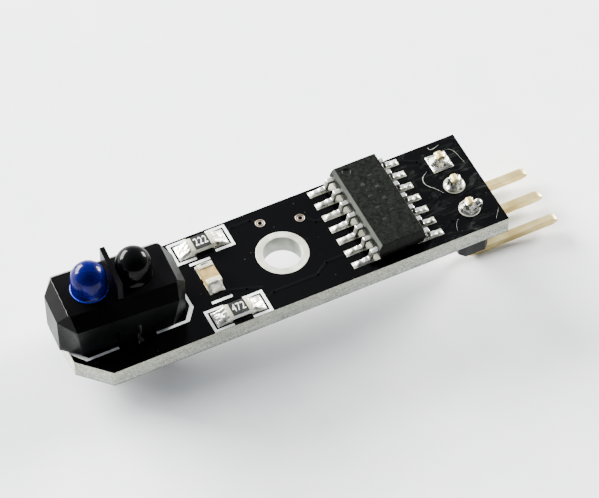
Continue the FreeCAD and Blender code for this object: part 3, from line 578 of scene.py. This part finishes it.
def solder_cone(bm, x, y, reach, base, height, seed, waist=0.36, flip=1):
    """An uneven, hollow-sided cone of solder from a pad of half size `reach` along a lead."""
    def wobble(angle, radius, z):
        drift = ripple(math.cos(angle), math.sin(angle), z, 1.3, seed)
        fine = ripple(math.cos(angle), math.sin(angle), z, 4.0, seed + 3)
        share = abs(z - base) / height
        grow = 1 + (0.30 * drift + 0.10 * fine) * (0.25 + share)
        return min(radius * grow, reach), z + flip * height * 0.10 * drift * share
    profile = []
    for step in range(15):
        share = step / 14
        radius = waist + (reach - waist) * (1 - share) ** 1.7
        profile.append((radius, base + flip * height * share))
    profile.append((0.2, base + flip * height * 1.02))
    lathe(bm, x, y, profile, steps=36, wobble=wobble)


def make_header_solder():
    """Three hand-made joints: the rear one covers its square pad, the front one has a bead."""
    pin_half = 0.32
    pad_half = 0.84
    bm = bmesh.new()
    for number, height in ((1, 0.72), (2, 0.78), (3, 0.80)):
        x = box(f"header_pin_{number}")[0].x + pin_half
        y = middle(f"header_pin_{number}").y
        solder_cone(bm, x, y, 0.80, PAD_TOP, height, 7.0 * number, waist=0.40)
        if number == 1:
            def spread(px, py, cx=x, cy=y):
                reach = max(abs(px - cx), abs(py - cy))
                return 0.20 * (1 - reach / 0.9) + 0.05 + 0.05 * ripple(px, py, 0, 2.2, 4.0)
            mound(bm, (x - pad_half, y - pad_half), (x + pad_half, y + pad_half), PAD_TOP, spread,
                  corner=0.02)
    pin = box("header_pin_3")[0]
    bead = Matrix.Translation(Vector((pin.x + 0.98, pin.y + 0.20, PAD_TOP + 0.36)) * MM)
    bmesh.ops.create_icosphere(bm, subdivisions=4, radius=0.38 * MM, matrix=bead)
    for vert in bm.verts:
        place = vert.co / MM
        if place.z > PAD_TOP + 0.05:
            shift = Vector([ripple(*place, 2.6, seed) for seed in (1.0, 2.0)] + [0.0])
            vert.co += shift * 0.07 * MM
    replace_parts(new_piece("header_joints", bm, "solder", variant="dark_solder"), "header_solder")


def make_sensor_solder():
    """Four cones under the board, round the sensor's leads."""
    bm = bmesh.new()
    for index, name in enumerate(SENSOR_LEADS):
        low, high = box(name)
        x = (low.x + high.x) / 2
        y = low.y + 0.27 if abs(low.y) > abs(high.y) else high.y - 0.27
        solder_cone(bm, x, y, 0.78, -0.02, 0.62, 5.0 * index, waist=0.34, flip=-1)
    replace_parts(new_piece("sensor_joints", bm, "solder"), "sensor_solder")


def make_comparator_solder():
    """Drag-soldered pads: a meniscus round each foot and a bead towards the pad's outer end."""
    foot_length, foot_half = 0.62, 0.21
    left_pads, right_pads = (4.24, 5.95), (10.35, 11.85)
    bm = bmesh.new()
    for number in range(1, 15):
        low, high = box(f"comparator_lead_{number:02d}")
        left = number <= 7  # leads 1 to 7 are on the side nearer the sensor
        tip, side, pad = (low.x, -1, left_pads) if left else (high.x, 1, right_pads)
        y = (low.y + high.y) / 2

        def height(px, py, tip=tip, side=side, y=y, number=number):
            out = (px - tip) * side
            beyond = max(0.0, out, -out - foot_length)
            beside = max(0.0, abs(py - y) - foot_half)
            skin = 0.035 + 0.15 * math.exp(-(math.hypot(beyond, beside) / 0.16) ** 2)
            crown = 1 - (2 * (py - y) / 0.62) ** 2
            bead = 0.16 * math.exp(-((out - 0.42) / 0.26) ** 2) * crown
            return skin + max(0.0, bead) + 0.025 * ripple(px, py, 0, 3.2, number)
        mound(bm, (pad[0], y - 0.28), (pad[1], y + 0.28), PAD_TOP, height, cell=0.06, corner=0.16)
    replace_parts(new_piece("comparator_joints", bm, "solder"), "comparator_solder")


def make_chip_solder():
    """Crinkled solder that climbs from each pad up the end of its resistor or capacitor."""
    bm = bmesh.new()
    jobs = (("rear_resistor", 0, 1.45, 0.50, 1.05), ("front_resistor", 0, 1.45, 0.50, 1.05),
            ("capacitor", 1, 1.25, 0.75, 0.46))
    for prefix, axis, width, tall, reach in jobs:
        low = box(f"{prefix}_terminal_a")[0]
        high = box(f"{prefix}_terminal_b")[1]
        across = 1 - axis
        centre = (low[across] + high[across]) / 2
        for side, face in ((-1, low[axis]), (1, high[axis])):

            def height(px, py, side=side, face=face, axis=axis, centre=centre, tall=tall,
                       reach=reach):
                spot = (px, py)
                out = (spot[axis] - face) * side
                if out < 0:
                    climb = tall + 0.06 if out > -0.16 else tall - 0.15
                    return climb * (1.0 if abs(spot[1 - axis] - centre) < 0.55 else 0.5)
                slope = (tall - 0.02) * (1 - min(1.0, out / reach)) ** 1.2
                fold = 0.10 * abs(ripple(px, py, 0, 2.6, tall))
                return 0.06 + slope + fold + 0.05 * ripple(px, py, 0, 6.0, 2.0)
            along = sorted((face - side * 0.30, face + side * reach))
            sideways = (centre - width / 2, centre + width / 2)
            corners = zip(along, sideways) if axis == 0 else zip(sideways, along)
            mound(bm, *corners, PAD_TOP, height)
    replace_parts(new_piece("chip_joints", bm, "solder"), "chip_solder")


def make_value_codes():
    """Generic three-digit value codes on the two resistors."""
    for prefix, digits in (("rear_resistor", "222"), ("front_resistor", "472")):
        low, high = box(f"{prefix}_overcoat")
        text = bpy.data.curves.new(f"{prefix}_code", "FONT")
        text.body = digits
        text.size = 0.86 * MM
        text.extrude = 0.004 * MM
        text.space_character = 1.12
        text.align_x = "CENTER"
        text.align_y = "CENTER"
        obj = as_mesh(f"{prefix}_code", text, "legend_ink")
        centre = Vector(((low.x + high.x) / 2, (low.y + high.y) / 2, high.z + 0.003))
        tall = Matrix.Diagonal((0.76, 1.22, 1, 1))
        obj.data.transform(Matrix.Translation(centre * MM) @ tall)


def make_chip_marks():
    """Faint generic marks on the comparator: two rows of short laser dashes."""
    bm = bmesh.new()
    low, high = box("comparator_body")
    for row, (across, dashes) in enumerate(((-0.35, 9), (0.55, 7))):
        for index in range(dashes):
            length = 0.30 + 0.10 * ((index * 5 + row * 3) % 3)
            y = high.y - 1.9 - index * 0.62
            x = (low.x + high.x) / 2 + across
            place = Matrix.Translation(Vector((x, y, high.z + 0.001)) * MM)
            size = Vector((0.06 + 0.26 * ((index + row) % 2), length * 0.55, 0.006)) * MM
            bmesh.ops.create_cube(bm, size=1.0, matrix=place @ Matrix.Diagonal((*size, 1)))
    new_piece("comparator_marks", bm, "mould_compound", smooth=False, variant="laser_mark")


def track(bm, points, z, rise, width=0.3):
    """A copper track under the mask: a low ridge with sloping sides along points."""
    for start, end in zip(points, points[1:]):
        run = Vector((end[0] - start[0], end[1] - start[1], 0))
        side = Vector((-run.y, run.x, 0)).normalized() * width / 2
        ahead = run.normalized() * width * 0.2
        first = Vector((*start, z)) - ahead
        last = Vector((*end, z)) + ahead
        lift = Vector((0, 0, rise))
        foot = [first + side, first - side, last - side, last + side]
        top = [first + side * 0.7 + lift, first - side * 0.7 + lift,
               last - side * 0.7 + lift, last + side * 0.7 + lift]
        foot = [bm.verts.new(corner * MM) for corner in foot]
        top = [bm.verts.new(corner * MM) for corner in top]
        bm.faces.new(top)
        bm.faces.new(foot[::-1])
        for step in range(4):
            after = (step + 1) % 4
            bm.faces.new((foot[step], foot[after], top[after], top[step]))


def make_tracks():
    """Copper tracks that show as ridges in the mask, above and below the board."""
    above = (
        [(-7.7, 3.4), (-8.4, 2.7), (-8.4, 0.6)],
        [(-3.2, 3.4), (-2.4, 3.9), (-0.9, 3.9), (-0.5, 3.5)],
        [(3.0, 2.2), (3.6, 1.55), (4.2, 1.55)],
        [(-3.2, -3.56), (-2.2, -3.1), (1.5, -3.1), (2.6, -2.3), (4.2, -2.3)],
        [(-5.9, -1.3), (-3.9, -1.9), (-2.7, -2.4)],
        [(12.0, 4.1), (13.2, 3.4), (13.8, 2.8)],
        [(12.0, -0.9), (13.2, -0.5), (13.8, 0.0)],
        [(12.0, -3.5), (13.0, -3.0), (13.8, -2.6)],
    )
    below = (
        [(14.7, -1.6), (13.2, -1.0), (3.6, -1.0), (2.4, -2.2), (-9.5, -2.2), (-10.6, -1.6)],
        [(13.2, 2.9), (5.0, 2.9), (3.1, 2.4)],
        [(13.2, 0.6), (6.0, 1.4), (3.5, 1.4)],
        [(-0.6, 3.2), (-3.0, 2.2), (-10.8, 2.2)],
    )
    sink, rise = 0.002, 0.016
    bm = bmesh.new()
    for points in above:
        track(bm, points, MASK_TOP - sink, rise)
    for points in below:
        track(bm, points, MASK_LOW + sink, -rise, 0.4)
    new_piece("track_ridges", bm, "solder_mask", smooth=False)


def make_via_glints():
    """Pale copper hoops round the two mask-covered vias: the copper pad edge, with a painted
    highlight where its ridge catches the light.
    """
    low, high = box("vias")
    edge = 0.36
    bm = bmesh.new()
    for x, y in ((low.x + edge, high.y - edge), (high.x - edge, low.y + edge)):
        hoop(bm, x, y, PAD_TOP - 0.005, 0.345, 0.028, 40)
        hoop(bm, x, y, PAD_TOP - 0.005, 0.20, 0.022, 32)
    new_piece("via_glints", bm, "tinned_copper", variant="via_glint")


def make_flux_threads():
    """Thin dried flux strands around the header joints."""
    z = MASK_TOP + 0.02
    strands = {
        "a": (0.020, [(13.5, 2.2), (12.9, 1.9), (12.7, 1.3), (12.9, 0.8), (13.3, 0.4), (13.7, -0.3)]),
        "b": (0.020, [(14.6, 4.3), (14.6, 4.0), (15.0, 4.0), (15.5, 4.2)]),
        "c": (0.010, [(15.7, 3.6), (16.2, 3.4), (16.4, 2.6), (16.5, 1.7)]),
        "d": (0.010, [(13.5, -3.0), (13.0, -3.4), (12.9, -4.1)]),
        "e": (0.010, [(16.8, -3.4), (16.4, -3.8), (16.1, -4.3)]),
    }
    for label, (radius, points) in strands.items():
        thread(f"flux_thread_{label}", [(x, y, z) for x, y in points], radius, "solder", "flux")


dress_nodes()
make_lens_cast("emitter", "blue_epoxy")
make_painted_caustic()
make_lens_foot("emitter", "blue_epoxy")
make_lens_cast("detector", "black_epoxy")
make_lens_foot("detector", "black_epoxy")
make_header_solder()
make_sensor_solder()
make_comparator_solder()
make_chip_solder()
make_value_codes()
make_chip_marks()
make_tracks()
make_via_glints()
make_flux_threads()


# ---- Stage ----

def make_camera():
    """A long lens, high on the front left, with the board's long side running up to the right."""
    place = Vector((-80.0, -169.64, 240.86)) * MM
    aim = Vector((0.26732, 0.55680, -0.78645))
    roll = Quaternion((0, 0, 1), math.radians(-0.544))
    data = bpy.data.cameras.new("camera")
    data.sensor_width = 36.0
    data.lens = 240.57
    data.clip_start = 0.01
    data.clip_end = 10.0
    camera = bpy.data.objects.new("camera", data)
    bpy.context.scene.collection.objects.link(camera)
    camera.rotation_mode = "QUATERNION"
    camera.location = place
    camera.rotation_quaternion = aim.to_track_quat("-Z", "Y") @ roll
    bpy.context.scene.camera = camera


def make_floor():
    """A pale sheet that the pins' bends and the sensor's leads stand on."""
    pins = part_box("header_pin_1")[0]
    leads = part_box("emitter_anode_lead")[0]
    slope = math.atan2(leads.z - pins.z, pins.x - leads.x)
    bpy.ops.mesh.primitive_grid_add(x_subdivisions=2, y_subdivisions=2, size=3.0)
    floor = bpy.context.object
    floor.name = "floor"
    floor.rotation_euler = (0.0, slope, 0.0)
    floor.location = (pins.x, 0.0, pins.z)
    s = Shader("pale_paper", Roughness=0.85, Specular_IOR_Level=0.2)
    fibre = s.noise(260, 6)
    s.set("Base Color", s.ramp(fibre, (0.3, (0.86, 0.88, 0.90)), (0.7, (0.92, 0.93, 0.94))))
    s.bump(fibre, 0.03)
    floor.data.materials.append(s.material)


def window(name, azimuth, elevation, distance, size, power, colour):
    """A rectangular soft light that faces the module. Azimuth 0 is +X and 90 is +Y."""
    turn, tilt = math.radians(azimuth), math.radians(elevation)
    toward = Vector((math.cos(turn) * math.cos(tilt), math.sin(turn) * math.cos(tilt),
                     math.sin(tilt)))
    data = bpy.data.lights.new(name, "AREA")
    data.shape = "RECTANGLE"
    data.size, data.size_y = size
    data.energy = power
    data.color = colour
    light = bpy.data.objects.new(name, data)
    bpy.context.scene.collection.objects.link(light)
    light.location = toward * distance
    light.rotation_mode = "QUATERNION"
    light.rotation_quaternion = (-toward).to_track_quat("-Z", "Y")


def make_light():
    """Two low soft windows, behind and to the right, under a dim ceiling and a pale horizon."""
    world = bpy.data.worlds.new("soft_room")
    world.use_nodes = True
    tree = world.node_tree
    where = tree.nodes.new("ShaderNodeTexCoord").outputs["Generated"]
    split = tree.nodes.new("ShaderNodeSeparateXYZ")
    tree.links.new(where, split.inputs[0])
    ramp = tree.nodes.new("ShaderNodeValToRGB")
    tree.links.new(split.outputs["Z"], ramp.inputs["Fac"])
    low, high = ramp.color_ramp.elements
    low.position, low.color = 0.25, (0.84, 0.91, 1.0, 1.0)
    high.position, high.color = 0.60, (0.40, 0.42, 0.46, 1.0)
    front = tree.nodes.new("ShaderNodeMapRange")
    tree.links.new(split.outputs["Y"], front.inputs["Value"])
    for socket, value in (("From Min", -0.6), ("From Max", 0.2), ("To Min", 0.16), ("To Max", 2.0)):
        front.inputs[socket].default_value = value
    background = tree.nodes["Background"]
    tree.links.new(ramp.outputs["Color"], background.inputs["Color"])
    tree.links.new(front.outputs["Result"], background.inputs["Strength"])
    bpy.context.scene.world = world
    window("back_window", 118, 20, 0.6, (0.5, 0.22), 34.0, (1.0, 0.99, 0.96))
    window("right_window", 16, 16, 0.6, (0.24, 0.18), 16.0, (1.0, 0.98, 0.94))


make_camera()
make_floor()
make_light()
